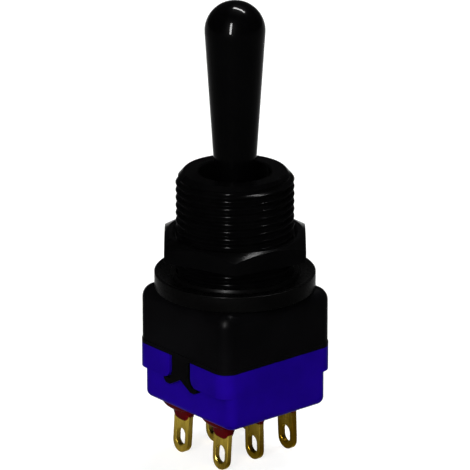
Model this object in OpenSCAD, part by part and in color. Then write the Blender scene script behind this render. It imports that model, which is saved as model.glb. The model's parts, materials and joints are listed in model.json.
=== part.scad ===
// Double-pole, centre-off panel toggle switch with six solder lugs.
// The origin lies on the bushing axis, on top of the panel gasket, where the panel rests.
// X runs along a row of lugs, in the plane of the lever's swing. Y is the hinge axis. Z is up.

/* [Lever] */
// Height of the lever's tip above the bushing
lever_reach = 17.55; // [12:0.1:24]
// Diameter of the lever's round tip
lever_tip_d = 6.05; // [5:0.05:7]
// Diameter of the lever where it leaves the bushing
lever_mouth_d = 4.15; // [3.6:0.05:4.3]
// Swing to each side of the centre position, in degrees
lever_swing = 12.5; // [9:0.5:12.5]
// Diameter of the pivot ball
ball_d = 6.4; // [6:0.1:6.6]
// Diameter of the tail under the ball
tail_d = 3.2; // [2.6:0.1:3.4]
// Diameter of the peg that the plunger carrier is pressed on
peg_d = 2.4; // [1.8:0.1:2.5]
// Diameter of the pivot pin
pivot_pin_d = 1.6; // [1.2:0.1:2]

/* [Bushing] */
// Height of the bushing above the gasket
bushing_h = 10.55; // [9.5:0.1:12]
// Outside diameter of the thread
thread_d = 11.9; // [11.5:0.1:12.4]
// Pitch of the thread
thread_pitch = 0.794; // [0.6:0.001:1]
// Depth of the thread
thread_depth = 0.43; // [0.25:0.01:0.46]
// Depth of the thread's first groove below the top of the bushing
thread_lead = 0.62; // [0.4:0.01:1]
// Diameter of the mouth that the lever comes out of
mouth_d = 7.35; // [7.3:0.05:7.8]
// Width of the chamfer round the top of the bushing
lead_w = 0.72; // [0.4:0.01:1]
// Height of that chamfer
lead_h = 0.87; // [0.4:0.01:1.2]
// Diameter of the bore that holds the bearing sleeve
sleeve_d = 8.6; // [8.5:0.1:9]
// Depth of the lever's pivot below the top of the bushing
pivot_depth = 6.35; // [5.9:0.05:6.4]

/* [Cap] */
// Width of the cap across the lug rows' length
cap_x = 14.3; // [13.8:0.1:16]
// Depth of the cap
cap_y = 13.9; // [13.6:0.1:16]
// Height of the cap
cap_h = 6.2; // [6.1:0.1:7]
// Thickness of the cap's side walls
cap_wall = 1; // [0.8:0.05:1.1]
// Thickness of the cap's roof
cap_roof = 1.3; // [1:0.1:1.4]
// Radius of the cap's upright corners
corner_r = 1.5; // [1.5:0.05:2]
// Radius of the edge round the cap's top
cap_edge_r = 1.4; // [0.3:0.05:1.5]
// Projection of the thin bead round the cap's lower edge
bead_w = 0.08; // [0.02:0.01:0.2]
// Height of that bead
bead_h = 0.4; // [0.2:0.05:0.8]

/* [Snap arms] */
// Width of an arm's stem
arm_w = 2.5; // [2:0.1:3]
// Gap between the stem and each side of its notch
arm_gap = 0.38; // [0.2:0.02:0.6]
// Distance between the tips of the two hooks
hook_span = 5.16; // [5:0.02:6]
// Depth of the hooks below the shoulder
hook_drop = 0.6; // [0.4:0.05:0.8]
// Length of a hook's level underside
hook_foot = 0.65; // [0.3:0.05:0.8]
// Size of the chamfer at a hook's tip
hook_tip = 0.35; // [0.2:0.05:0.5]
// Height of the arch between the hooks, above their tops
hook_arch = 0.3; // [0.1:0.05:0.5]
// Radius of the shoulder's corner that a hook holds
notch_r = 0.9; // [0.5:0.05:1]

/* [Panel gasket] */
// Diameter of the gasket
gasket_d = 16.25; // [15:0.05:18]
// Thickness of the gasket
gasket_t = 1.6; // [1:0.1:2.2]
// Radius of the gasket's outer edges
gasket_edge_r = 0.2; // [0.1:0.05:0.45]
// Width of the raised lip round the gasket's bore
lip_w = 0.35; // [0.2:0.05:0.6]
// Height of that lip
lip_h = 0.15; // [0.05:0.05:0.2]

/* [Hex nut] */
// Width of the nut's ring outside the thread, at its flats
nut_rim = 1.12; // [0.8:0.02:2]
// Thickness of the nut
nut_t = 2; // [1.5:0.05:3]
// Height of the nut's underside above the gasket
nut_stand = 2.2; // [2.1:0.05:4]
// Drop of the top chamfer at the nut's corners
nut_chamfer = 0.5; // [0.3:0.05:0.8]
// Width of the chamfer at each end of the nut's bore
nut_lead = 0.36; // [0.1:0.02:0.5]
// Turn of the nut about the bushing, in degrees
nut_turn = -10; // [-30:1:30]

/* [Base] */
// Height of the base below the cap
base_h = 6.15; // [6:0.05:8]
// Height of the shoulder at the top of the base
shoulder_h = 2.55; // [2.4:0.05:3]
// Depth from the cap's side to the lower body's
shoulder_step = 0.72; // [0.5:0.02:0.8]
// Radius of the lower body's corners
base_corner_r = 1.1; // [0.6:0.05:1.3]
// Radius of the edge round the base's underside
base_edge_r = 0.75; // [0.4:0.05:1]
// Thickness of the base's upper wall, inside the cap
liner_t = 0.6; // [0.45:0.05:0.65]
// Thickness of the base's floor over the sealing compound
floor_t = 1.5; // [1:0.1:1.6]
// Depth of the recess for the sealing compound
seal_pocket = 1.2; // [0.8:0.1:1.3]
// Width of the rim round that recess
seal_rim = 0.65; // [0.6:0.05:1]
// Height of the sealing compound's swell below the base
seal_swell = 0.15; // [0.05:0.05:0.3]
// Width of the skirt of compound that runs down each lug
skirt_w = 2.5; // [2:0.1:2.8]
// Length of that skirt
skirt_h = 1.2; // [0.6:0.05:1.25]
// Depth of that skirt from the middle of the lug to its outside, at the top
skirt_t = 0.8; // [0.5:0.05:1]

/* [Terminals] */
// Spacing of the lugs along a row
lug_pitch = 4.42; // [4.3:0.02:4.6]
// Spacing of the two rows
row_pitch = 6.22; // [6.2:0.02:6.4]
// Width of a lug
lug_w = 2.3; // [2:0.05:2.4]
// Thickness of a lug
lug_t = 0.6; // [0.4:0.05:0.7]
// Length of a lug below the base
lug_l = 5.5; // [4.5:0.1:7]
// Width of the eye in a lug
eye_w = 1.35; // [1:0.05:1.5]
// Length of the eye
eye_l = 1.9; // [1.5:0.05:2.2]
// Height of the eye's centre above the lug's tip
eye_up = 1.65; // [1.5:0.05:2]

/* [Rockers and contacts] */
// Rocker's turn for each degree of the lever's
rocker_ratio = 0.5; // [0.4:0.05:0.55]
// Width of a rocker
rocker_w = 3.9; // [3.6:0.05:3.94]
// Thickness of a rocker
rocker_t = 0.5; // [0.4:0.02:0.56]
// Radius of the bar that a rocker tips on
fulcrum_r = 0.6; // [0.5:0.02:0.64]
// Radius of a contact
contact_r = 0.65; // [0.5:0.05:0.7]
// Thickness of a contact
contact_t = 0.3; // [0.2:0.02:0.36]

/* [Plungers] */
// Height of the plunger carrier
carrier_h = 2.7; // [2.5:0.05:2.8]
// Width of the carrier in the plane of the swing
carrier_w = 3.6; // [3.4:0.1:3.8]
// Diameter of a plunger
plunger_d = 2.2; // [2:0.05:2.3]
// Diameter of the spring hole in a plunger
plunger_bore_d = 1.5; // [1.4:0.02:1.6]
// Upward travel of a plunger against its spring
plunger_travel = 0.6; // [0.3:0.05:0.7]
// Outside diameter of a plunger spring
spring_d = 1.34; // [1.2:0.02:1.36]
// Wire diameter of a plunger spring
wire_d = 0.2; // [0.14:0.02:0.24]
// Turns of a plunger spring
spring_turns = 5; // [4:1:6]

/* [Clearances] */
// Radial gap of a turning or sliding fit
run_gap = 0.03; // [0.02:0.01:0.05]
// Gap between fixed pieces that are assembled together
fit_gap = 0.02; // [0.01:0.01:0.04]
// Gap between the nut's bore and the thread's crests
thread_gap = 0.05; // [0.02:0.01:0.1]
// Gap beside each rocker
side_gap = 0.12; // [0.08:0.01:0.15]
// Room kept around pieces that swing
swing_gap = 0.2; // [0.1:0.05:0.25]

/* [Hidden] */
ROWS = ["front", "back"];
ENDS = ["left", "right"];
$fn = 64;
eps = 0.01;

// Levels of the case, from the top down
cap_top = -gasket_t;
ceiling = cap_top - cap_roof;
cap_bottom = cap_top - cap_h;
shoulder_bottom = cap_bottom - shoulder_h;
base_bottom = cap_bottom - base_h;
lug_tip = base_bottom - lug_l;
pocket_roof = base_bottom + seal_pocket;
cavity_floor = pocket_roof + floor_t;
body_x = cap_x - 2 * shoulder_step;
nut_af = thread_d + 2 * nut_rim;
grooves = floor((bushing_h - thread_lead + gasket_t / 2) / thread_pitch) + 1;

// Inside of the case
inner_x = cap_x - 2 * (cap_wall + fit_gap);
inner_y = cap_y - 2 * (cap_wall + fit_gap);
cavity_x = inner_x - 2 * liner_t;
cavity_y = inner_y - 2 * liner_t;
flange_t = 0.8;
flange_bottom = ceiling - fit_gap - flange_t;

// Lever and its seal
lever_top = bushing_h + lever_reach;
pivot_z = bushing_h - pivot_depth;
tip_r = lever_tip_d / 2;
tip_z = lever_top - tip_r;
taper = asin((tip_r - lever_mouth_d / 2) / (tip_z - bushing_h));
ball_r = ball_d / 2;
shank_z = pivot_z + ball_r * 0.8;
shank_r = lever_mouth_d / 2 - tan(taper) * (bushing_h - shank_z);
seal_r = 0.75;
seal_ring_r = sleeve_d / 2 - fit_gap - seal_r;
seal_rise = sqrt(pow(ball_r + fit_gap + seal_r, 2) - pow(seal_ring_r, 2));
seal_z = pivot_z + seal_rise;
sleeve_top = seal_z - seal_r - fit_gap;
sleeve_r = sleeve_d / 2 - fit_gap;
tail_bore_r = sleeve_r - 0.5;

// Plunger carrier: its top corners pass under the sleeve's flange at the end of the swing
carrier_drop = (pivot_z - flange_bottom + carrier_w / 2 * sin(lever_swing) + swing_gap) / cos(lever_swing);
carrier_top = pivot_z - carrier_drop;
carrier_bottom = carrier_top - carrier_h;
carrier_roof = 0.5;
row_y = row_pitch / 2;
plunger_r = plunger_d / 2;
plunger_top = carrier_top - carrier_roof - plunger_travel - 0.4;
spring_top = carrier_top - carrier_roof;
tip_below = 0.25;
plunger_ball_z = carrier_bottom - tip_below;
spring_bottom = plunger_ball_z + 0.1;

// Rocker: the tip's path, seen from the tilting rocker, sets the radius of its trough
plunger_arm = pivot_z - plunger_ball_z;
trough_low = plunger_ball_z - plunger_r - fit_gap;
fulcrum_z = trough_low - rocker_t - run_gap - fulcrum_r;
rocker_tilt = rocker_ratio * lever_swing;
function tip_x(a) = -plunger_arm * sin(a);
function tip_rise(a) = pivot_z - plunger_arm * cos(a) - fulcrum_z;
function path_x(a) = tip_x(a) * cos(rocker_ratio * a) + tip_rise(a) * sin(rocker_ratio * a);
function path_z(a) = -tip_x(a) * sin(rocker_ratio * a) + tip_rise(a) * cos(rocker_ratio * a);
path_end = -path_x(lever_swing);
path_climb = path_z(lever_swing) - path_z(0);
path_r = (pow(path_end, 2) + pow(path_climb, 2)) / (2 * path_climb);
trough_r = path_r + plunger_r + fit_gap;
trough_z = trough_low + trough_r;
trough_half = path_end * trough_r / path_r + 0.2;
wing_bottom = trough_z - sqrt(pow(trough_r + rocker_t, 2) - pow(trough_half, 2));

// Contacts: a rocker's contact reaches the fixed one at the end of the swing
contact_x = lug_pitch + lug_t / 2 - contact_r;
rocker_half = contact_x + contact_r + 0.1;
moving_face = wing_bottom - contact_t;
touch_drop = (contact_x + contact_r) * sin(rocker_tilt);
touch_rise = (moving_face - fulcrum_z) * cos(rocker_tilt);
fixed_face = fulcrum_z + touch_rise - touch_drop - fit_gap;
tab_top = fixed_face - contact_t;
barrier_t = row_pitch - rocker_w - 2 * side_gap;

function row_side(row) = row == "front" ? -1 : 1;
function end_side(end) = end == "left" ? -1 : 1;

// ---- shared shapes ----

// Upright outline with rounded upper and lower edges, centred on the axis
module edge_outline(width, height, top_r, bottom_r) {
    half = width / 2;
    translate([-half, bottom_r]) square([width, height - top_r - bottom_r]);
    translate([-half + bottom_r, 0]) square([width - 2 * bottom_r, height / 2]);
    translate([-half + top_r, height / 2]) square([width - 2 * top_r, height / 2]);
    for (side = [-1, 1]) {
        if (top_r > 0) translate([side * (half - top_r), height - top_r]) circle(r = top_r);
        if (bottom_r > 0) translate([side * (half - bottom_r), bottom_r]) circle(r = bottom_r);
    }
}

// Block with round upright corners and rounded upper and lower edges, standing on z = 0
module soft_block(x, y, h, r, top_r = 0, bottom_r = 0) {
    translate([0, (y - 2 * r) / 2, 0]) rotate([90, 0, 0])
        linear_extrude(y - 2 * r) edge_outline(x, h, top_r, bottom_r);
    translate([-(x - 2 * r) / 2, 0, 0]) rotate([90, 0, 90])
        linear_extrude(x - 2 * r) edge_outline(y, h, top_r, bottom_r);
    for (sx = [-1, 1]) for (sy = [-1, 1])
        translate([sx * (x / 2 - r), sy * (y / 2 - r), 0]) rotate_extrude()
            intersection() {
                edge_outline(2 * r, h, top_r, bottom_r);
                square([r, h]);
            }
}

// Straight-sided block with round upright corners, standing on z = 0
module round_block(x, y, h, r) {
    linear_extrude(h) rounded_rect(x, y, r);
}

module rounded_rect(x, y, r) {
    square([x - 2 * r, y], center = true);
    square([x, y - 2 * r], center = true);
    for (sx = [-1, 1]) for (sy = [-1, 1])
        translate([sx * (x / 2 - r), sy * (y / 2 - r)]) circle(r = r);
}

module along_y(length) {
    rotate([90, 0, 0]) linear_extrude(length, center = true) children();
}

// ---- lever and its bearing ----

module lever() {
    color("#101012") difference() {
        union() {
            rotate_extrude() {
                polygon([
                    [0, shank_z],
                    [shank_r, shank_z],
                    [tip_r * cos(taper), tip_z - tip_r * sin(taper)],
                    [0, tip_z - tip_r * sin(taper)]
                ]);
                intersection() {
                    translate([0, tip_z]) circle(r = tip_r);
                    translate([0, tip_z - tip_r * sin(taper)]) square(2 * tip_r);
                }
            }
            translate([0, 0, pivot_z]) sphere(r = ball_r);
            translate([0, 0, carrier_top]) cylinder(d = tail_d, h = pivot_z - carrier_top);
            translate([0, 0, carrier_bottom]) cylinder(d = peg_d, h = carrier_h + eps);
        }
        translate([0, 0, pivot_z]) rotate([90, 0, 0])
            cylinder(d = pivot_pin_d + 2 * run_gap, h = 2 * ball_d, center = true);
    }
}

module pivot_pin() {
    color("silver") translate([0, 0, pivot_z]) rotate([90, 0, 0])
        cylinder(d = pivot_pin_d, h = 2 * sleeve_r - 0.1, center = true);
}

module bearing_sleeve() {
    color("#2a2a2c") difference() {
        union() {
            translate([0, 0, flange_bottom]) cylinder(r = sleeve_r, h = sleeve_top - flange_bottom);
            translate([0, 0, flange_bottom]) round_block(inner_x, inner_y, flange_t, corner_r / 2);
        }
        cone_top = pivot_z - ball_r * 0.4;
        cone_bottom = cone_top - 0.8;
        translate([0, 0, cone_top - eps]) cylinder(r = ball_r + run_gap, h = sleeve_top);
        translate([0, 0, cone_bottom]) cylinder(r1 = tail_bore_r, r2 = ball_r + run_gap, h = cone_top - cone_bottom);
        translate([0, 0, flange_bottom - 1]) cylinder(r = tail_bore_r, h = cone_bottom - flange_bottom + 1 + eps);
        translate([0, 0, pivot_z]) rotate([90, 0, 0])
            cylinder(d = pivot_pin_d + 2 * fit_gap, h = 2 * sleeve_d, center = true);
    }
}

module lever_seal() {
    color("#1b1b1b") translate([0, 0, seal_z])
        rotate_extrude() translate([seal_ring_r, 0]) circle(r = seal_r);
}

// ---- case ----

module housing() {
    color("#17171a") {
        difference() {
            union() {
                translate([0, 0, cap_bottom])
                    soft_block(cap_x, cap_y, cap_h, corner_r, cap_edge_r);
                translate([0, 0, cap_bottom])
                    round_block(cap_x + 2 * bead_w, cap_y + 2 * bead_w, bead_h, corner_r + bead_w);
                rotate_extrude() bushing_outline();
                for (side = [-1, 1]) snap_arm(side);
            }
            translate([0, 0, cap_bottom - eps]) round_block(
                cap_x - 2 * cap_wall, cap_y - 2 * cap_wall, ceiling - cap_bottom + eps, corner_r / 2);
            translate([0, 0, ceiling - eps])
                cylinder(d = sleeve_d, h = seal_z + seal_r + fit_gap - ceiling + eps);
            cylinder(d = mouth_d, h = 2 * bushing_h);
        }
    }
}

// Chamfered blank, less one ring groove for each turn of the thread
module bushing_outline() {
    difference() {
        polygon([
            [0, cap_top - eps],
            [thread_d / 2, cap_top - eps],
            [thread_d / 2, bushing_h - lead_h],
            [thread_d / 2 - lead_w, bushing_h],
            [0, bushing_h]
        ]);
        for (turn = [0:grooves - 1])
            translate([thread_d / 2, bushing_h - thread_lead - turn * thread_pitch]) thread_groove();
    }
}

// Groove of a 60 degree thread form with flat crest and root, opening at x = 0
module thread_groove() {
    crest_flat = thread_pitch / 8;
    half = (thread_pitch - crest_flat) / 2;
    root_half = half - thread_depth * tan(30);
    past = half + eps * tan(30);
    polygon([[eps, past], [-thread_depth, root_half], [-thread_depth, -root_half], [eps, -past]]);
}

// Anchor-shaped arm that reaches down through the shoulder's notch and hooks under it
module snap_arm(side) {
    arm_t = shoulder_step + bead_w - fit_gap;
    translate([side * (cap_x / 2 + bead_w - arm_t / 2), 0, 0]) rotate([90, 0, 90])
        linear_extrude(arm_t, center = true) arm_outline();
}

module arm_outline() {
    hook_top = shoulder_bottom - fit_gap;
    hook_bottom = shoulder_bottom - hook_drop;
    hook_heel = hook_span / 2 - hook_tip - hook_foot;
    notch_half = arm_w / 2 + arm_gap;
    difference() {
        union() {
            translate([-arm_w / 2, hook_top]) square([arm_w, cap_bottom - hook_top + bead_h]);
            for (s = [-1, 1]) polygon([
                [0, hook_top + notch_r],
                [s * arm_w / 2, hook_top + notch_r],
                [s * notch_half, hook_top],
                [s * hook_span / 2, hook_top],
                [s * hook_span / 2, hook_bottom + hook_tip],
                [s * (hook_span / 2 - hook_tip), hook_bottom],
                [s * hook_heel, hook_bottom],
                [0, hook_top + hook_arch]
            ]);
        }
        for (s = [-1, 1]) polygon([
            [0, hook_bottom - 1],
            [0, hook_top + hook_arch],
            [s * hook_heel, hook_bottom],
            [s * hook_heel, hook_bottom - 1]
        ]);
    }
}

module panel_gasket() {
    inner_r = thread_d / 2 + fit_gap;
    outer_r = gasket_d / 2;
    color("#262626") rotate_extrude() {
        translate([inner_r, -gasket_t + fit_gap]) square([lip_w, gasket_t + lip_h - fit_gap]);
        difference() {
            translate([0, -gasket_t + fit_gap])
                edge_outline(2 * outer_r, gasket_t - fit_gap, gasket_edge_r, gasket_edge_r);
            translate([-2 * outer_r + inner_r, -2 * gasket_t]) square([2 * outer_r, 3 * gasket_t]);
        }
    }
}

module hex_nut() {
    corner = nut_af / 2 / cos(30);
    bore_r = thread_d / 2 + thread_gap;
    face_r = nut_af / 2 - 0.2;
    edge_r = corner + 0.05;
    foot = 0.2;
    slope = nut_chamfer / (corner - face_r);
    color("#141416") translate([0, 0, nut_stand]) difference() {
        intersection() {
            rotate([0, 0, nut_turn]) cylinder(r = corner, h = nut_t, $fn = 6);
            rotate_extrude() polygon([
                [0, 0],
                [edge_r - foot, 0],
                [edge_r, foot],
                [edge_r, nut_t - slope * (edge_r - face_r)],
                [face_r, nut_t],
                [0, nut_t]
            ]);
        }
        translate([0, 0, -1]) cylinder(r = bore_r, h = nut_t + 2);
        for (end = [0, 1]) translate([0, 0, end * nut_t]) mirror([0, 0, end])
            translate([0, 0, -eps]) cylinder(r1 = bore_r + nut_lead, r2 = bore_r, h = nut_lead + eps);
    }
}

// ---- base ----

module base() {
    color("#2008b0") difference() {
        union() {
            translate([0, 0, base_bottom])
                soft_block(body_x, cap_y, base_h - 1, base_corner_r, 0, base_edge_r);
            translate([0, 0, shoulder_bottom])
                round_block(cap_x + 2 * bead_w, cap_y + 2 * bead_w, shoulder_h, corner_r + bead_w);
            translate([0, 0, shoulder_bottom])
                round_block(inner_x, inner_y, flange_bottom - fit_gap - shoulder_bottom, corner_r / 2);
        }
        for (side = [-1, 1]) arm_notch(side);
        translate([-cavity_x / 2, -cavity_y / 2, cap_bottom]) cube([cavity_x, cavity_y, cap_h]);
        for (row = ROWS) pole_pocket(row_side(row));
        translate([0, 0, base_bottom - 1])
            round_block(body_x - 2 * seal_rim, cap_y - 2 * seal_rim, seal_pocket + 1, base_corner_r / 2);
        for (row = ROWS) for (step = [-1, 0, 1])
            at_lug(row_side(row), step) blade_slot();
    }
}

// Notch in the shoulder, with round lower corners for the hooks
module arm_notch(side) {
    half = arm_w / 2 + arm_gap;
    translate([side * cap_x / 2, 0, 0]) rotate([90, 0, 90])
        linear_extrude(2 * shoulder_step, center = true) {
            translate([-half, shoulder_bottom - eps]) square([2 * half, shoulder_h + 2 * eps]);
            for (s = [-1, 1]) difference() {
                translate([s * half - (s > 0 ? 0 : notch_r), shoulder_bottom - eps]) square([notch_r, notch_r]);
                translate([s * (half + notch_r), shoulder_bottom + notch_r]) circle(r = notch_r);
            }
        }
}

// Pocket in which one pole's rocker and terminals work
module pole_pocket(side) {
    low = barrier_t / 2;
    high = cavity_y / 2;
    translate([-cavity_x / 2, side > 0 ? low : -high, cavity_floor])
        cube([cavity_x, high - low, cap_bottom - cavity_floor + eps]);
}

module sealing_compound() {
    pool_x = body_x - 2 * (seal_rim + fit_gap);
    pool_y = cap_y - 2 * (seal_rim + fit_gap);
    pool_bottom = base_bottom + base_edge_r / 8;
    swell_x = body_x - 2 * base_edge_r;
    swell_y = cap_y - 2 * base_edge_r;
    color("#7a0c10") difference() {
        union() {
            translate([0, 0, pool_bottom])
                round_block(pool_x, pool_y, pocket_roof - fit_gap - pool_bottom, base_corner_r / 2);
            translate([0, 0, base_bottom - seal_swell]) soft_block(
                swell_x, swell_y, 2 * seal_swell + base_edge_r / 8, base_corner_r / 2, 0, seal_swell);
            for (row = ROWS) for (step = [-1, 0, 1])
                at_lug(row_side(row), step) compound_skirt();
        }
        for (row = ROWS) for (step = [-1, 0, 1])
            at_lug(row_side(row), step) blade_slot();
    }
}

// Skirt of compound round a lug: round from the broad side, tapered from the narrow side
module compound_skirt() {
    skirt_r = (pow(skirt_w / 2, 2) + pow(skirt_h, 2)) / (2 * skirt_h);
    root_z = base_bottom - seal_swell / 2;
    end_x = lug_t / 2 + 0.05;
    intersection() {
        translate([0, 0, root_z - skirt_h + skirt_r]) rotate([90, 0, 90])
            cylinder(r = skirt_r, h = 2 * skirt_t, center = true);
        along_y(skirt_w) polygon([
            [-skirt_t, root_z],
            [-end_x, root_z - skirt_h],
            [end_x, root_z - skirt_h],
            [skirt_t, root_z]
        ]);
    }
}

// ---- terminals ----

module at_lug(side, step) {
    translate([step * lug_pitch, side * row_y, 0]) children();
}

module blade_slot() {
    translate([0, 0, (lug_tip + cavity_floor) / 2]) cube(
        [lug_t + 2 * fit_gap, lug_w + 2 * fit_gap, cavity_floor - lug_tip + 1], center = true);
}

// Blade with a round tip and an oval eye, up to the given height
module lug_blade(top) {
    rotate([90, 0, 90]) linear_extrude(lug_t, center = true) difference() {
        union() {
            translate([0, lug_tip + lug_w / 2]) circle(d = lug_w);
            translate([-lug_w / 2, lug_tip + lug_w / 2]) square([lug_w, top - lug_tip - lug_w / 2]);
        }
        translate([0, lug_tip + eye_up]) {
            for (s = [-1, 1]) translate([0, s * (eye_l - eye_w) / 2]) circle(d = eye_w);
            square([eye_w, eye_l - eye_w], center = true);
        }
    }
}

module common_terminal(row) {
    bar_l = rocker_w - 0.3;
    color("#b59a45") at_lug(row_side(row), 0) {
        lug_blade(fulcrum_z);
        translate([0, 0, fulcrum_z]) rotate([90, 0, 0])
            cylinder(r = fulcrum_r, h = bar_l, center = true);
    }
}

module outer_terminal(row, end) {
    tab_l = 2 * contact_r;
    side = end_side(end);
    color("#b59a45") at_lug(row_side(row), side) {
        lug_blade(tab_top);
        translate([side > 0 ? lug_t / 2 - tab_l : -lug_t / 2, -lug_w / 2, tab_top - lug_t])
            cube([tab_l, lug_w, lug_t]);
    }
}

module at_contact(row, end) {
    translate([end_side(end) * contact_x, row_side(row) * row_y, 0]) children();
}

module fixed_contact(row, end) {
    color("silver") at_contact(row, end) translate([0, 0, tab_top])
        cylinder(r = contact_r, h = fixed_face - tab_top);
}

module rocker_contact(row, end) {
    color("silver") at_contact(row, end) translate([0, 0, moving_face])
        cylinder(r = contact_r, h = contact_t);
}

// ---- rockers ----

module rocker(row) {
    color("#b8803c") translate([0, row_side(row) * row_y, 0])
        along_y(rocker_w) rocker_outline();
}

// Dished strip with flat wings and a saddle that sits on the fulcrum bar
module rocker_outline() {
    saddle_half = fulcrum_r + 0.35;
    difference() {
        union() {
            intersection() {
                translate([0, trough_z]) circle(r = trough_r + rocker_t);
                translate([-trough_half, fulcrum_z]) square([2 * trough_half, trough_r]);
            }
            translate([-saddle_half, fulcrum_z]) square([2 * saddle_half, trough_low - fulcrum_z - eps]);
        }
        translate([0, trough_z]) circle(r = trough_r);
        translate([-trough_r, wing_bottom + rocker_t]) square(2 * trough_r);
        translate([0, fulcrum_z]) circle(r = fulcrum_r + run_gap);
    }
    for (s = [-1, 1]) translate([s > 0 ? trough_half - 0.1 : -rocker_half, wing_bottom])
        square([rocker_half - trough_half + 0.1, rocker_t]);
}

// ---- plungers and springs ----

module plunger_carrier() {
    carrier_y = row_pitch + plunger_d + 1.2;
    color("#e8e4d8") difference() {
        translate([0, 0, carrier_bottom]) round_block(carrier_w, carrier_y, carrier_h, 0.5);
        translate([0, 0, carrier_bottom - eps]) cylinder(d = peg_d + 2 * fit_gap, h = carrier_h + 2 * eps);
        for (row = ROWS) translate([0, row_side(row) * row_y, carrier_bottom - eps])
            cylinder(r = plunger_r + run_gap, h = carrier_h - carrier_roof + eps);
    }
}

module plunger(row) {
    color("#dcdcdc") translate([0, row_side(row) * row_y, 0]) difference() {
        union() {
            translate([0, 0, plunger_ball_z]) cylinder(r = plunger_r, h = plunger_top - plunger_ball_z);
            translate([0, 0, plunger_ball_z]) sphere(r = plunger_r);
        }
        translate([0, 0, spring_bottom]) cylinder(d = plunger_bore_d, h = 2 * plunger_d);
    }
}

module plunger_spring(row) {
    low = spring_bottom + fit_gap + wire_d / 2;
    high = spring_top - fit_gap - wire_d / 2;
    color("silver") translate([0, row_side(row) * row_y, 0])
        coil((spring_d - wire_d) / 2, wire_d / 2, low, high, spring_turns);
}

// Round wire wound in a helix from low to high
module coil(ring_r, wire_r, low, high, turns) {
    sides = 8;
    steps = 14 * turns;
    points = [for (i = [0:steps]) for (j = [0:sides - 1])
        let (turn = 360 * turns * i / steps,
             z = low + (high - low) * i / steps,
             around = 360 * j / sides,
             r = ring_r + wire_r * cos(around))
        [r * cos(turn), r * sin(turn), z + wire_r * sin(around)]];
    skin = [for (i = [0:steps - 1]) for (j = [0:sides - 1])
        let (k = (j + 1) % sides, a = i * sides, b = (i + 1) * sides)
        [a + j, a + k, b + k, b + j]];
    ends = [
        [for (j = [sides - 1:-1:0]) j],
        [for (j = [0:sides - 1]) steps * sides + j]
    ];
    polyhedron(points = points, faces = concat(skin, ends), convexity = 10);
}

lever();
plunger_carrier();
pivot_pin();
bearing_sleeve();
lever_seal();
housing();
panel_gasket();
hex_nut();
base();
sealing_compound();
for (row = ROWS) {
    plunger(row);
    plunger_spring(row);
    rocker(row);
    common_terminal(row);
    for (end = ENDS) {
        outer_terminal(row, end);
        fixed_contact(row, end);
        rocker_contact(row, end);
    }
}
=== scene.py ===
import json
import math

import bmesh
import bpy
from mathutils import Matrix, Vector

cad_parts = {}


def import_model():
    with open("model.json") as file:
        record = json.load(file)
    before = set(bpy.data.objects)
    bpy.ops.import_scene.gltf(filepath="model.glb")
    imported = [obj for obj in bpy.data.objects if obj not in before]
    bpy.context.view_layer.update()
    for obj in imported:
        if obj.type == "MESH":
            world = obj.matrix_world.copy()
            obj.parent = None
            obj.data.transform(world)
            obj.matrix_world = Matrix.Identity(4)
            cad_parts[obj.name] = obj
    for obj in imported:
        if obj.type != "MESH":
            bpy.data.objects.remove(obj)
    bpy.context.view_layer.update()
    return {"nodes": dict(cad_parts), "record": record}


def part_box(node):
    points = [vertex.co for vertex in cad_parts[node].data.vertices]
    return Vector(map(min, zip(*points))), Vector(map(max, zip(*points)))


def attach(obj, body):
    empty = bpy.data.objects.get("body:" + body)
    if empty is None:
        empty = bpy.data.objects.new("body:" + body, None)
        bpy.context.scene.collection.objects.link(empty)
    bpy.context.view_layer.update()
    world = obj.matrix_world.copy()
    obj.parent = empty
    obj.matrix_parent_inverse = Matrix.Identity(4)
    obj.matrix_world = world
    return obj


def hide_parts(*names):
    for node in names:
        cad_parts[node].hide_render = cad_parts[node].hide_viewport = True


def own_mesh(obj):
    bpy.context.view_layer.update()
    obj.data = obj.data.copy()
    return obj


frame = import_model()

MM = 0.001

# Bushing thread, and its 60 degree form with a rounded crest: (share of a turn, depth share) points
THREAD_D = 11.9 * MM
THREAD_PITCH = 0.794 * MM
THREAD_DEPTH = 0.49 * MM
THREAD_FORM = [
    (0.00, 0.00),
    (0.05, 0.02),
    (0.10, 0.10),
    (0.34, 0.94),
    (0.42, 1.00),
    (0.58, 1.00),
    (0.66, 0.94),
    (0.90, 0.10),
    (0.95, 0.02),
]
THREAD_FOOT = -0.5 * MM
THREAD_OVERRUN = 1 * MM
TURN_STEPS = 120

# Play left between faces that would coincide, and how far cutting pieces reach past what they cut
PLAY = 0.01 * MM
REACH = 2 * MM
BLOCK = 40 * MM
SAME_POINT = 1e-8

# Copies of solids: points closer than this are welded, and faces this near to flat are merged
WELD = 1e-7
FLAT = math.radians(0.4)

# Photograph's viewpoint
CAMERA_AZIMUTH = -40.1
CAMERA_ELEVATION = 19.5
CAMERA_DISTANCE = 443 * MM
CAMERA_LENS = 338.9
AIM_Z = 3.7 * MM

# Top of the bushing: its mouth, the bore under it, and the chamfer that leads into the thread
MOUTH_D = 7.35 * MM
MOUTH_DEPTH = 3.76 * MM
MOUTH_EDGE = 0.12 * MM
SLEEVE_R = 4.3 * MM
LEAD_W = 0.72 * MM
LEAD_H = 0.87 * MM
LEAD_EDGE = 0.1 * MM

# Level just under the gasket's top where the housing's cap and bushing part
SPLIT_Z = -0.8 * MM
CAP_EDGE = 0.06 * MM
CAP_SHARP = 35

# Chamfer on the nut's upper corners
NUT_FACE_R = 6.82 * MM
NUT_SLOPE = math.tan(math.radians(28.5))
NUT_RISE = 0.2 * MM
NUT_OUTSIDE = NUT_FACE_R + 3 * MM
NUT_EDGE = 0.07 * MM
NUT_STEPS = 128

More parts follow.
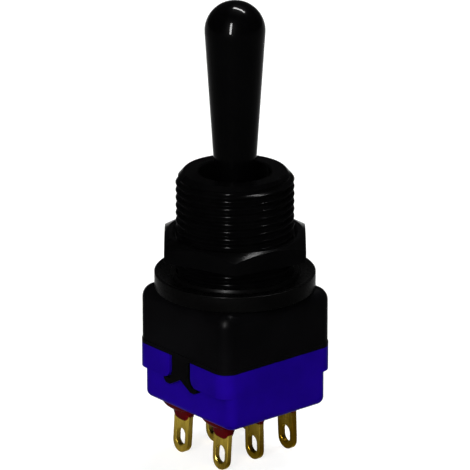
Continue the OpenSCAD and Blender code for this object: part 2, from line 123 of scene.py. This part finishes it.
# Gasket: bead round the bore with a sloping outer wall, shallow dish round the bead, and flat rim.
# The wall's slope is given from its top edge to its foot.
BORE_PLAY = 0.02 * MM
BEAD_R = 6.5 * MM
BEAD_FOOT = 0.04 * MM
BEAD_SLOPES = [math.radians(degrees) for degrees in range(34, 5, -4)]
DISH_DEPTH = 0.18 * MM
DISH_R = 7.4 * MM
RIM_R = 7.75 * MM
RIM_SINK = 0.02 * MM
RIM_STEP = 0.05 * MM
RIM_EDGE = 0.07 * MM
RIM_STEPS = 8
GASKET_STEPS = 192

# How far each column of lugs stands to +X at the base, against its foot
LUG_LEAN = {"left": 0.36 * MM, "middle": -0.1 * MM, "right": -0.2 * MM}
LEAN_FADE = 1.1 * MM

# Lugs
LUG_PITCH = 4.42 * MM
ROW_Y = 3.11 * MM
LUG_W = 2.3 * MM
LUG_T = 0.6 * MM
LUG_EDGE = 0.12 * MM
COLUMNS = {"left": -LUG_PITCH, "middle": 0, "right": LUG_PITCH}

# Resin pool under the base, and the skirts that run down the lugs
POOL_X = 5.74 * MM
POOL_Y = 6.26 * MM
POOL_TOP = 0.6 * MM
POOL_BOTTOM = 0.02 * MM
SKIRT_TOP = 0.1 * MM
SKIRT_T = 0.18 * MM
SKIRT_TUCK = 0.12 * MM
SKIRT_LEAN = 0.85
SKIRT_RINGS = 20
SKIRT_SIDES = 40
FLARE_X = 1.05 * MM
FLARE_Y = 0.85 * MM
FLARE_FADE = 2.5
RESIN_VOXEL = 0.075 * MM

# Each skirt's column, its row, its length in millimetres, the share of the full flare, and in
# millimetres the rise of its lower end towards the lug's -Y and +Y edges
SKIRTS = [
    ("left", -1, 2.33, 1.0, 0.75, 0.13),
    ("middle", -1, 1.55, 0.5, 0.0, 0.1),
    ("right", -1, 1.38, 0.3, 0.0, 0.1),
    ("left", 1, 2.28, 1.0, 0.77, 0.2),
    ("middle", 1, 1.6, 0.6, 0.2, 0.2),
    ("right", 1, 1.5, 0.5, 0.2, 0.1),
]

# Mound of resin round each left lug: its middle from the lug's, and its radii
MOUND_X = -0.2 * MM
MOUND_Y = 0.3 * MM
MOUND_SIZE = (1.15 * MM, 2.35 * MM, 0.98 * MM)

# Swell of the pool's underside: middle from the base's underside, and radii
SWELL_Z = 0.15 * MM
SWELL_SIZE = (5.2 * MM, 5.6 * MM, 0.3 * MM)

# Base
BASE_EDGE = 0.1 * MM

# Studio
FLOOR_GLOW = 0.8
FLOOR_SIZE = 6
FLOOR_COLOR = (0.25, 0.25, 0.25)
FLOOR_ROUGHNESS = 0.9
ROOM_LEVEL = 0.2

# Moulded plastics and rubbers: darker and lighter colour, roughness, specular level, grain in
# features per metre, and height of the grain in millimetres. The clouds of colour have a grain of
# their own, and the roughness goes between two shares of the stated one.
MOULDED = {
    "lever_black": ((0.0004, 0.0004, 0.0005), (0.0007, 0.0007, 0.0008), 0.34, 0.0007, 1400, 0.0006),
    "case_black": ((0.0012, 0.0012, 0.0014), (0.0019, 0.0019, 0.0022), 0.33, 0.0021, 5000, 0.003),
    "bushing_black": ((0.0007, 0.0007, 0.0008), (0.0014, 0.0014, 0.0015), 0.14, 0.0016, 5000, 0.003),
    "nut_black": ((0.0007, 0.0007, 0.0008), (0.0012, 0.0012, 0.0013), 0.17, 0.0028, 5000, 0.003),
    "gasket_rubber": ((0.0009, 0.0009, 0.0009), (0.0016, 0.0016, 0.0016), 0.28, 0.0034, 3500, 0.004),
    "seal_rubber": ((0.0025, 0.0025, 0.0025), (0.004, 0.004, 0.004), 0.55, 0.004, 5000, 0.003),
    "base_blue": ((0.0068, 0.0005, 0.142), (0.0092, 0.0007, 0.184), 0.3, 0.0024, 5000, 0.003),
    "compound_red": ((0.04, 0.0009, 0.0015), (0.074, 0.0026, 0.0038), 0.25, 0.002, 900, 0.004),
    "carrier_nylon": ((0.58, 0.56, 0.49), (0.66, 0.64, 0.57), 0.45, 0.05, 5000, 0.003),
    "sleeve_plastic": ((0.006, 0.006, 0.006), (0.01, 0.01, 0.01), 0.5, 0.006, 5000, 0.003),
}
CLOUD_GRAIN = 260
GRAIN_GLOSS = (0.85, 1.2)

# Thin clear gloss over the lever's moulding
LEVER_COAT = {"Coat Weight": 1, "Coat Roughness": 0.07, "Coat IOR": 1.046}

# Metals: darker and lighter colour, roughness, and stretch of the worked lines along each axis
METALS = {
    "contact_silver": ((0.6, 0.6, 0.58), (0.75, 0.75, 0.73), 0.3, (1, 1, 1)),
    "rocker_bronze": ((0.45, 0.26, 0.12), (0.6, 0.36, 0.17), 0.32, (0.2, 1, 1)),
    "steel": ((0.42, 0.42, 0.42), (0.55, 0.55, 0.55), 0.28, (1, 0.2, 1)),
    "plunger_steel": ((0.5, 0.5, 0.5), (0.62, 0.62, 0.62), 0.2, (1, 1, 0.2)),
}
PATCH_GRAIN = 700
LINE_GRAIN = 2500
LINE_RELIEF = 0.002 * MM
LINE_GLOSS = (0.75, 1.35)

# Gold plating: its pale and brown ends, the tint at grazing angles, and how far each cause darkens it:
# painted shade by column, by row and on the sides, random tarnish, and a darkening towards the feet.
# A face counts as a side from a set share of its normal along Y.
GOLD_PALE = (0.22, 0.16, 0.026)
GOLD_BROWN = (0.04, 0.021, 0.001)
GOLD_EDGE = (0.95, 0.8, 0.45, 1)
GOLD_ROUGHNESS = 0.28
# Painted shade: the shares by column and by row darken the lugs towards +X and towards -Y.
SHADE_BY_COLUMN = 0.58
SHADE_BY_ROW = 0.25
BROWN_BY_TARNISH = (-0.25, 0.3)
# Painted shade: the share on the sides darkens the faces that look along Y.
SHADE_BY_SIDE = 0.22
BROWN_BY_HEIGHT = 0.34
BROWN_FOOT_Z = -18.5 * MM
BROWN_ROOT_Z = -15.5 * MM
SIDE_FROM = 0.3
TARNISH_GRAIN = 420

# Lights: name, azimuth, elevation, distance and sides in metres, watts, roll, and what shows them
LIGHTS = [
    ("left_strip", -57, 24, 0.5, 0.055, 0.36, 66, 0, "glossy"),
    ("top_strip", 100, 72, 0.52, 0.052, 0.3, 36, 108, "glossy"),
    ("left_box", -57, 22, 0.8, 0.3, 0.4, 7.2, 0, "diffuse"),
    ("top_box", 110, 64, 0.8, 0.4, 0.4, 8.2, 0, "diffuse"),
    ("front_box", -20, 40, 0.8, 0.5, 0.5, 1.5, 0, "diffuse"),
]


# ---- mesh helpers ----


def new_piece(name, mesh):
    piece = bpy.data.objects.new(name, mesh)
    bpy.context.scene.collection.objects.link(piece)
    return piece


def body_of_node(node):
    bodies = frame["record"]["behaviour"]["bodies"]
    return next(body for body, nodes in bodies.items() if node in nodes)


def slot_of_node(node):
    parts = frame["record"]["subparts"]
    return next(part["material_slot"] for part in parts if part["node"] == node)


def dress(piece, node):
    """Has a piece stand for a node, on the node's own body."""
    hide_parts(node)
    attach(piece, body_of_node(node))


def copy_of(node):
    """A new object with a welded copy of a node's mesh, flat areas merged to single faces."""
    mesh = frame["nodes"][node].data.copy()
    mesh.materials.clear()
    bm = bmesh.new()
    bm.from_mesh(mesh)
    bmesh.ops.remove_doubles(bm, verts=bm.verts, dist=WELD)
    bmesh.ops.dissolve_limit(bm, angle_limit=FLAT, verts=bm.verts, edges=bm.edges)
    bm.to_mesh(mesh)
    bm.free()
    return new_piece(f"{node}_shown", mesh)


def smooth_by_angle(piece, degrees):
    for face in piece.data.polygons:
        face.use_smooth = True
    piece.data.set_sharp_from_angle(angle=math.radians(degrees))


def round_edges(piece, width, degrees=30, segments=2):
    bevel = piece.modifiers.new("round_edges", "BEVEL")
    bevel.width = width
    bevel.segments = segments
    bevel.limit_method = "ANGLE"
    bevel.angle_limit = math.radians(degrees)
    bevel.harden_normals = True
    bevel.use_clamp_overlap = True
    smooth_by_angle(piece, degrees)


def softened(node, width):
    """Stands for a node: its own shape with slightly rounded edges."""
    piece = copy_of(node)
    round_edges(piece, width)
    dress(piece, node)
    return piece


def lathe(name, outline, steps):
    """Turned ring about Z from a closed outline of (radius, z) points."""
    mesh = bpy.data.meshes.new(name)
    bm = bmesh.new()
    angles = [2 * math.pi * i / steps for i in range(steps)]
    rings = []
    for radius, z in outline:
        rings.append([bm.verts.new((radius * math.cos(a), radius * math.sin(a), z)) for a in angles])
    for here, there in zip(rings, rings[1:] + rings[:1]):
        for i in range(steps):
            j = (i + 1) % steps
            bm.faces.new((here[i], here[j], there[j], there[i]))
    bmesh.ops.recalc_face_normals(bm, faces=bm.faces)
    bm.to_mesh(mesh)
    bm.free()
    return new_piece(name, mesh)


# ---- the threaded housing ----


def groove_depth(turn_share):
    """Depth of the thread's groove at a share of a turn."""
    points = THREAD_FORM + [(1.0, 0.0)]
    for (a, da), (b, db) in zip(points, points[1:]):
        if a <= turn_share <= b:
            return THREAD_DEPTH * (da + (db - da) * (turn_share - a) / (b - a))
    return 0.0


def thread_cutter(low, high):
    """Ring whose inner wall is the thread, from low to high along Z, to be cut from the bushing."""
    crest_r = THREAD_D / 2 - PLAY
    outer_r = THREAD_D / 2 + REACH
    shares = [share for share, _ in THREAD_FORM]
    turns = int((high - low) / THREAD_PITCH) + 3
    mesh = bpy.data.meshes.new("thread_cutter")
    bm = bmesh.new()
    columns = []
    for i in range(TURN_STEPS):
        angle = 2 * math.pi * i / TURN_STEPS
        start = low - THREAD_PITCH + THREAD_PITCH * i / TURN_STEPS
        column = []
        for turn in range(-1, turns):
            for share in shares:
                raw = start + THREAD_PITCH * (turn + share)
                z = min(max(raw, low), high)
                depth = groove_depth(((z - start) / THREAD_PITCH) % 1.0)
                radius = crest_r - depth
                column.append(bm.verts.new((radius * math.cos(angle), radius * math.sin(angle), z)))
        for z in (high, low):
            column.append(bm.verts.new((outer_r * math.cos(angle), outer_r * math.sin(angle), z)))
        columns.append(column)
    rows = len(columns[0])
    per_turn = len(shares)
    thread_rows = rows - 2
    for i in range(TURN_STEPS):
        here = columns[i]
        there = columns[(i + 1) % TURN_STEPS]
        shift = per_turn if i == TURN_STEPS - 1 else 0
        for j in range(thread_rows - 1):
            a = min(j + shift, thread_rows - 1)
            b = min(j + 1 + shift, thread_rows - 1)
            join_corners(bm, [here[j], here[j + 1], there[b], there[a]])
        for j, k in ((thread_rows - 1, rows - 2), (rows - 2, rows - 1), (rows - 1, 0)):
            join_corners(bm, [here[j], here[k], there[k], there[j]])
    bmesh.ops.remove_doubles(bm, verts=bm.verts, dist=SAME_POINT)
    bmesh.ops.dissolve_degenerate(bm, edges=bm.edges, dist=SAME_POINT)
    bmesh.ops.recalc_face_normals(bm, faces=bm.faces)
    bm.to_mesh(mesh)
    bm.free()
    return new_piece("thread_cutter", mesh)


def join_corners(bm, corners):
    """Face over the corners that lie apart, or none where fewer than three do."""
    unique = []
    for vert in corners:
        if all((vert.co - other.co).length > SAME_POINT for other in unique):
            unique.append(vert)
    if len(unique) > 2:
        bm.faces.new(unique)


def bake_modifiers(piece):
    """Applies a piece's modifiers to its mesh."""
    bpy.context.view_layer.update()
    shape = piece.evaluated_get(bpy.context.evaluated_depsgraph_get())
    mesh = bpy.data.meshes.new_from_object(shape)
    piece.modifiers.clear()
    piece.data = mesh


def cut(piece, tool):
    boolean = piece.modifiers.new("cut", "BOOLEAN")
    boolean.operation = "DIFFERENCE"
    boolean.solver = "EXACT"
    boolean.object = tool
    bake_modifiers(piece)
    bpy.data.objects.remove(tool)


def slab(low, high):
    """Plain block wider than the part, from low to high, to cut with."""
    mesh = bpy.data.meshes.new("slab")
    bm = bmesh.new()
    bmesh.ops.create_cube(bm, size=1)
    for vert in bm.verts:
        vert.co = (BLOCK * vert.co.x, BLOCK * vert.co.y, low if vert.co.z < 0 else high)
    bm.to_mesh(mesh)
    bm.free()
    return new_piece("slab", mesh)


def housing_cap():
    """The solid's own shape below the split, with softened edges."""
    piece = copy_of("housing")
    piece.name = "housing_cap_shown"
    cut(piece, slab(SPLIT_Z, BLOCK))
    round_edges(piece, CAP_EDGE, degrees=CAP_SHARP)
    dress(piece, "housing")
    return piece


def housing_bushing():
    """Chamfered tube above the split, cut by a true helical thread in place of the solid's ring grooves."""
    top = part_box("housing")[1][2]
    mouth_r = MOUTH_D / 2
    rim_r = THREAD_D / 2
    piece = lathe("housing_bushing_shown", [
        (SLEEVE_R, SPLIT_Z),
        (SLEEVE_R, top - MOUTH_DEPTH),
        (mouth_r, top - MOUTH_DEPTH),
        (mouth_r, top - MOUTH_EDGE),
        (mouth_r + MOUTH_EDGE, top),
        (rim_r - LEAD_W - 0.5 * LEAD_EDGE, top),
        (rim_r - LEAD_W + 0.5 * LEAD_EDGE, top - LEAD_EDGE),
        (rim_r, top - LEAD_H),
        (rim_r, SPLIT_Z),
    ], steps=TURN_STEPS)
    cut(piece, thread_cutter(THREAD_FOOT, top + THREAD_OVERRUN))
    smooth_by_angle(piece, degrees=30)
    dress(piece, "housing")
    return piece


# ---- lugs ----


def lug(node, lean):
    """The solid's own shape, leaning a little between its foot and the base, as hand-bent lugs do."""
    piece = copy_of(node)
    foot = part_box(node)[0][2]
    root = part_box("base")[0][2]
    levels = [(foot, 0), (root, lean), (root + LEAN_FADE, 0)]
    bm = bmesh.new()
    bm.from_mesh(piece.data)
    for z, _ in levels[1:]:
        everything = bm.verts[:] + bm.edges[:] + bm.faces[:]
        bmesh.ops.bisect_plane(bm, geom=everything, plane_co=(0, 0, z), plane_no=(0, 0, 1))
    for vert in bm.verts:
        for (low, start), (high, end) in zip(levels, levels[1:]):
            if low <= vert.co.z <= high:
                vert.co.x += start + (end - start) * (vert.co.z - low) / (high - low)
                break
    bm.to_mesh(piece.data)
    bm.free()
    round_edges(piece, LUG_EDGE, segments=3)
    dress(piece, node)
    return piece


def lugs():
    """Node names of the six lugs, each with its lean."""
    for row in ("front", "back"):
        yield f"common_terminal_{row}", LUG_LEAN["middle"]
        yield f"outer_terminal_{row}_left", LUG_LEAN["left"]
        yield f"outer_terminal_{row}_right", LUG_LEAN["right"]


# ---- nut and gasket ----


def nut():
    """The solid's own shape with a deeper chamfer on its upper corners."""
    piece = copy_of("hex_nut")
    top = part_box("hex_nut")[1][2]
    cut(piece, lathe("nut_chamfer", [
        (NUT_FACE_R - NUT_RISE / NUT_SLOPE, top + NUT_RISE),
        (NUT_OUTSIDE, top + NUT_RISE),
        (NUT_OUTSIDE, top - (NUT_OUTSIDE - NUT_FACE_R) * NUT_SLOPE),
    ], steps=NUT_STEPS))
    round_edges(piece, NUT_EDGE)
    dress(piece, "hex_nut")
    return piece


def rim_edge(outer_r, level, up, angles):
    """(radius, z) points of a rounded edge of the rim: the upper one if up is 1, the lower if -1."""
    return [
        (outer_r - RIM_EDGE * (1 - math.cos(angle)), level - up * RIM_EDGE * (1 - math.sin(angle)))
        for angle in angles
    ]


def bead_wall(high):
    """(radius, z) points down the bead's outer wall, an arc from its top edge to the dish."""
    flat, steep = BEAD_SLOPES[0], BEAD_SLOPES[-1]
    curve_r = (high + DISH_DEPTH) / (math.sin(flat) - math.sin(steep))
    return [
        (
            BEAD_R - curve_r * (math.cos(steep) - math.cos(slope)),
            high - curve_r * (math.sin(flat) - math.sin(slope)),
        )
        for slope in BEAD_SLOPES
    ]


def gasket():
    """Flat ring with a bead round its bore, just clear of the nut at the lowest point of its travel."""
    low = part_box("panel_gasket")[0][2]
    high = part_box("panel_gasket")[1][2] - PLAY
    bore_r = THREAD_D / 2 + BORE_PLAY
    outer_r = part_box("panel_gasket")[1][0] - PLAY
    quarter = [math.pi / 2 * i / RIM_STEPS for i in range(RIM_STEPS, -1, -1)]
    outline = [(bore_r, low), (bore_r, high)]
    outline += bead_wall(high)
    outline += [(BEAD_R + BEAD_FOOT, -DISH_DEPTH), (DISH_R, -DISH_DEPTH)]
    outline += [(RIM_R, -RIM_SINK), (RIM_R + RIM_STEP, 0)]
    outline += rim_edge(outer_r, 0, 1, quarter)
    outline += rim_edge(outer_r, low, -1, reversed(quarter))
    piece = lathe("panel_gasket_shown", outline, steps=GASKET_STEPS)
    smooth_by_angle(piece, degrees=40)
    dress(piece, "panel_gasket")
    return piece


# ---- plunger springs ----


def plunger_spring(row):
    """The solid's own coil, on a mesh of its own."""
    node = f"plunger_spring_{row}"
    piece = copy_of(node)
    dress(piece, node)
    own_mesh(piece)
    return piece


# ---- resin under the base ----


def add_skirt(bm, x, y, base_z, length, fullness, rise_front, rise_back):
    """Closed loft round one lug: flared where it meets the pool, and drawn in a little at its foot."""
    rings = []
    for i in range(SKIRT_RINGS + 1):
        share = i / SKIRT_RINGS
        flare = fullness * (1 - share) ** FLARE_FADE
        tuck = SKIRT_TUCK * share**6
        half_x = LUG_T / 2 + SKIRT_T + FLARE_X * flare - tuck
        half_y = LUG_W / 2 + SKIRT_T + FLARE_Y * flare - tuck
        z = base_z - length * share
        ring = []
        for j in range(SKIRT_SIDES):
            angle = 2 * math.pi * j / SKIRT_SIDES
            across = math.copysign(math.sqrt(abs(math.cos(angle))), math.cos(angle))
            along = math.copysign(math.sqrt(abs(math.sin(angle))), math.sin(angle))
            rise = share * (rise_front * along**4 if along < 0 else rise_back * along)
            ring.append(bm.verts.new((x + half_x * across, y + half_y * along, z + rise)))
        rings.append(ring)
    for upper, lower in zip(rings, rings[1:]):
        for j in range(SKIRT_SIDES):
            k = (j + 1) % SKIRT_SIDES
            bm.faces.new((upper[j], upper[k], lower[k], lower[j]))
    bm.faces.new(rings[0])
    bm.faces.new(rings[-1])


def add_swell(bm, middle, size):
    """Ellipsoid with the given middle and radii."""
    swell = bmesh.ops.create_icosphere(bm, subdivisions=4, radius=1)
    for vert in swell["verts"]:
        vert.co = [place + radius * share for place, radius, share in zip(middle, size, vert.co)]


def sealing_compound():
    """Resin pool in the base's recess, with a skirt down every lug, melted into one surface."""
    base_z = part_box("base")[0][2]
    bm = bmesh.new()
    bmesh.ops.create_cube(bm, size=1)
    for vert in bm.verts:
        vert.co.x *= 2 * POOL_X
        vert.co.y *= 2 * POOL_Y
        vert.co.z = base_z + (POOL_TOP if vert.co.z > 0 else POOL_BOTTOM)
    for column, row, length, fullness, rise_front, rise_back in SKIRTS:
        x = COLUMNS[column] + SKIRT_LEAN * LUG_LEAN[column]
        y = row * ROW_Y
        add_skirt(bm, x, y, base_z + SKIRT_TOP, length * MM, fullness, rise_front * MM, rise_back * MM)
        if column == "left":
            add_swell(bm, (COLUMNS[column] + MOUND_X, y + MOUND_Y, base_z), MOUND_SIZE)
    add_swell(bm, (0, 0, base_z + SWELL_Z), SWELL_SIZE)
    bmesh.ops.recalc_face_normals(bm, faces=bm.faces)
    mesh = bpy.data.meshes.new("sealing_compound_shown")
    bm.to_mesh(mesh)
    bm.free()
    piece = new_piece("sealing_compound_shown", mesh)
    melt = piece.modifiers.new("melt", "REMESH")
    melt.mode = "VOXEL"
    melt.voxel_size = RESIN_VOXEL
    ease = piece.modifiers.new("ease", "SMOOTH")
    ease.factor = 0.5
    ease.iterations = 4
    bake_modifiers(piece)
    smooth_by_angle(piece, degrees=60)
    dress(piece, "sealing_compound")
    return piece


# ---- materials ----


def material(name, color, roughness, specular=0.5, metallic=0.0):
    made = bpy.data.materials.new(name)
    made.use_nodes = True
    shader = made.node_tree.nodes["Principled BSDF"]
    shader.inputs["Base Color"].default_value = (*color, 1)
    shader.inputs["Roughness"].default_value = roughness
    shader.inputs["Specular IOR Level"].default_value = specular
    shader.inputs["Metallic"].default_value = metallic
    return made


def noise(tree, scale, detail=3, stretch=(1, 1, 1)):
    """Noise over the object's own metres, scale in features per metre."""
    coords = tree.nodes.new("ShaderNodeTexCoord")
    place = tree.nodes.new("ShaderNodeMapping")
    place.inputs["Scale"].default_value = stretch
    cells = tree.nodes.new("ShaderNodeTexNoise")
    cells.inputs["Scale"].default_value = scale
    cells.inputs["Detail"].default_value = detail
    tree.links.new(coords.outputs["Object"], place.inputs["Vector"])
    tree.links.new(place.outputs["Vector"], cells.inputs["Vector"])
    return cells.outputs["Fac"]


def spread(tree, value, low, high, start=0.3, end=0.7):
    """Maps a noise value between start and end to low and high."""
    node = tree.nodes.new("ShaderNodeMapRange")
    node.inputs["From Min"].default_value = start
    node.inputs["From Max"].default_value = end
    node.inputs["To Min"].default_value = low
    node.inputs["To Max"].default_value = high
    tree.links.new(value, node.inputs["Value"])
    return node.outputs["Result"]


def tint(made, value, low, high, start=0.35, end=0.65):
    """Base colour between two colours."""
    tree = made.node_tree
    ramp = tree.nodes.new("ShaderNodeValToRGB")
    ramp.color_ramp.elements[0].position = start
    ramp.color_ramp.elements[0].color = (*low, 1)
    ramp.color_ramp.elements[1].position = end
    ramp.color_ramp.elements[1].color = (*high, 1)
    tree.links.new(value, ramp.inputs["Fac"])
    tree.links.new(ramp.outputs["Color"], tree.nodes["Principled BSDF"].inputs["Base Color"])


def roughen(made, value, low, high):
    tree = made.node_tree
    tree.links.new(spread(tree, value, low, high), tree.nodes["Principled BSDF"].inputs["Roughness"])


def emboss(made, value, height):
    """Surface relief of the given height in metres."""
    tree = made.node_tree
    relief = tree.nodes.new("ShaderNodeBump")
    relief.inputs["Distance"].default_value = height
    tree.links.new(value, relief.inputs["Height"])
    tree.links.new(relief.outputs["Normal"], tree.nodes["Principled BSDF"].inputs["Normal"])


def moulded(name, dark, light, roughness, specular, grain, relief):
    """Moulded plastic or rubber: cloudy colour, fine grain in gloss and relief."""
    made = material(name, dark, roughness, specular)
    tree = made.node_tree
    tint(made, noise(tree, CLOUD_GRAIN, 5), dark, light)
    fine = noise(tree, grain, 4)
    roughen(made, fine, *[roughness * share for share in GRAIN_GLOSS])
    emboss(made, fine, relief)
    return made


def worked_metal(name, color, roughness, lines):
    """Metal with fine lines along the way it was worked, in gloss and relief."""
    made = material(name, color, roughness, metallic=1.0)
    fine = noise(made.node_tree, LINE_GRAIN, 5, lines)
    roughen(made, fine, *[roughness * share for share in LINE_GLOSS])
    emboss(made, fine, LINE_RELIEF)
    return made


def patchy_metal(name, dark, light, roughness, lines):
    made = worked_metal(name, dark, roughness, lines)
    tint(made, noise(made.node_tree, PATCH_GRAIN, 6), dark, light)
    return made


def split_axes(tree, vector):
    node = tree.nodes.new("ShaderNodeSeparateXYZ")
    tree.links.new(vector, node.inputs["Vector"])
    return node.outputs


def calculated(tree, operation, first, second=None):
    """Result of a Math node over one or two values."""
    node = tree.nodes.new("ShaderNodeMath")
    node.operation = operation
    tree.links.new(first, node.inputs[0])
    if second is not None:
        tree.links.new(second, node.inputs[1])
    return node.outputs["Value"]


def gold_plate():
    """Thin gold over brass with random tarnish; painted shade darkens it towards the +X, -Y corner and on
    the faces along Y, and it is darker towards the feet.
    """
    made = worked_metal("terminal_gold", GOLD_PALE, GOLD_ROUGHNESS, (1, 1, 0.2))
    tree = made.node_tree
    tree.nodes["Principled BSDF"].inputs["Specular Tint"].default_value = GOLD_EDGE
    coords = tree.nodes.new("ShaderNodeTexCoord").outputs
    place = split_axes(tree, coords["Object"])
    sideways = calculated(tree, "ABSOLUTE", split_axes(tree, coords["Normal"])["Y"])
    shares = [
        # painted shade: darker towards the +X column and the -Y row
        spread(tree, place["X"], 0.0, SHADE_BY_COLUMN, -LUG_PITCH, LUG_PITCH),
        spread(tree, place["Y"], SHADE_BY_ROW, 0.0, -ROW_Y, ROW_Y),
        spread(tree, noise(tree, TARNISH_GRAIN, 6, (1, 1, 0.6)), *BROWN_BY_TARNISH),
        # painted shade: darker on the faces that look along Y
        spread(tree, sideways, 0.0, SHADE_BY_SIDE, SIDE_FROM, 1.0),
        spread(tree, place["Z"], BROWN_BY_HEIGHT, 0.0, BROWN_FOOT_Z, BROWN_ROOT_Z),
    ]
    # sum of painted shade, random tarnish and the darkening towards the feet
    tarnish_and_shade = shares[0]
    for share in shares[1:]:
        tarnish_and_shade = calculated(tree, "ADD", tarnish_and_shade, share)
    tint(made, tarnish_and_shade, GOLD_PALE, GOLD_BROWN, 0.0, 1.0)
    return made


def make_materials():
    made = {"terminal_gold": gold_plate()}
    for slot, (dark, light, roughness, specular, grain, relief) in MOULDED.items():
        made[slot] = moulded(slot, dark, light, roughness, specular, grain, relief * MM)
    for slot, settings in METALS.items():
        made[slot] = patchy_metal(slot, *settings)
    shine = made["lever_black"].node_tree.nodes["Principled BSDF"]
    for socket, value in LEVER_COAT.items():
        shine.inputs[socket].default_value = value
    return made


def paint(piece, made):
    piece.data.materials.clear()
    piece.data.materials.append(made)


# ---- stage ----


def background_glow(tree):
    """1 for camera, glossy and transmission rays, 0 for the rays that light the object."""
    path = tree.nodes.new("ShaderNodeLightPath").outputs
    seen = calculated(tree, "MAXIMUM", path["Is Camera Ray"], path["Is Glossy Ray"])
    return calculated(tree, "MAXIMUM", seen, path["Is Transmission Ray"])


def scaled(tree, value, factor):
    """A value times a constant factor."""
    node = tree.nodes.new("ShaderNodeMath")
    node.operation = "MULTIPLY"
    node.inputs[1].default_value = factor
    tree.links.new(value, node.inputs[0])
    return node.outputs["Value"]


def floor():
    """Plain floor at the lugs' feet: it shows white, and takes the object's shadow."""
    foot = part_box("outer_terminal_front_left")[0][2]
    bpy.ops.mesh.primitive_plane_add(size=FLOOR_SIZE, location=(0, 0, foot))
    plane = bpy.context.object
    plane.name = "floor"
    made = material("floor_white", FLOOR_COLOR, FLOOR_ROUGHNESS, specular=0.0)
    tree = made.node_tree
    glow = tree.nodes.new("ShaderNodeEmission")
    total = tree.nodes.new("ShaderNodeAddShader")
    tree.links.new(scaled(tree, background_glow(tree), FLOOR_GLOW), glow.inputs["Strength"])
    tree.links.new(tree.nodes["Principled BSDF"].outputs["BSDF"], total.inputs[0])
    tree.links.new(glow.outputs["Emission"], total.inputs[1])
    tree.links.new(total.outputs["Shader"], tree.nodes["Material Output"].inputs["Surface"])
    paint(plane, made)


def world():
    """A dim room of one level all round."""
    made = bpy.data.worlds.new("studio")
    bpy.context.scene.world = made
    made.use_nodes = True
    room = made.node_tree.nodes["Background"]
    room.inputs["Color"].default_value = (1, 1, 1, 1)
    room.inputs["Strength"].default_value = ROOM_LEVEL


def direction(azimuth, elevation):
    """Unit vector from the origin towards an azimuth and elevation in degrees, azimuth 0 on -Y."""
    a = math.radians(azimuth)
    e = math.radians(elevation)
    return Vector((math.sin(a) * math.cos(e), -math.cos(a) * math.cos(e), math.sin(e)))


def area_light(name, azimuth, elevation, distance, size, size_y, power, roll, seen_in):
    """A strip that shows in gloss alone, or a soft box that lights surfaces without showing in them."""
    data = bpy.data.lights.new(name, "AREA")
    data.shape = "RECTANGLE"
    data.size = size
    data.size_y = size_y
    data.energy = power
    lamp = bpy.data.objects.new(name, data)
    bpy.context.scene.collection.objects.link(lamp)
    away = direction(azimuth, elevation)
    lamp.location = away * distance
    turn = away.to_track_quat("Z", "Y").to_matrix() @ Matrix.Rotation(math.radians(roll), 3, "Z")
    lamp.rotation_euler = turn.to_euler()
    lamp.visible_glossy = seen_in == "glossy"
    lamp.visible_diffuse = seen_in == "diffuse"


def camera():
    data = bpy.data.cameras.new("camera")
    data.lens = CAMERA_LENS
    data.clip_start = 0.01
    item = bpy.data.objects.new("camera", data)
    bpy.context.scene.collection.objects.link(item)
    back = direction(CAMERA_AZIMUTH, CAMERA_ELEVATION)
    item.location = Vector((0, 0, AIM_Z)) + back * CAMERA_DISTANCE
    item.rotation_euler = back.to_track_quat("Z", "Y").to_euler()
    bpy.context.scene.camera = item


materials = make_materials()
for node, piece in frame["nodes"].items():
    paint(piece, materials[slot_of_node(node)])
paint(housing_cap(), materials["case_black"])
paint(housing_bushing(), materials["bushing_black"])
paint(sealing_compound(), materials["compound_red"])
for node, lean in lugs():
    paint(lug(node, lean), materials["terminal_gold"])
paint(nut(), materials["nut_black"])
paint(gasket(), materials["gasket_rubber"])
for row in ("front", "back"):
    paint(plunger_spring(row), materials["steel"])
paint(softened("base", BASE_EDGE), materials["base_blue"])
floor()
world()
camera()
for light in LIGHTS:
    area_light(*light)
bpy.context.scene.view_settings.view_transform = "Standard"
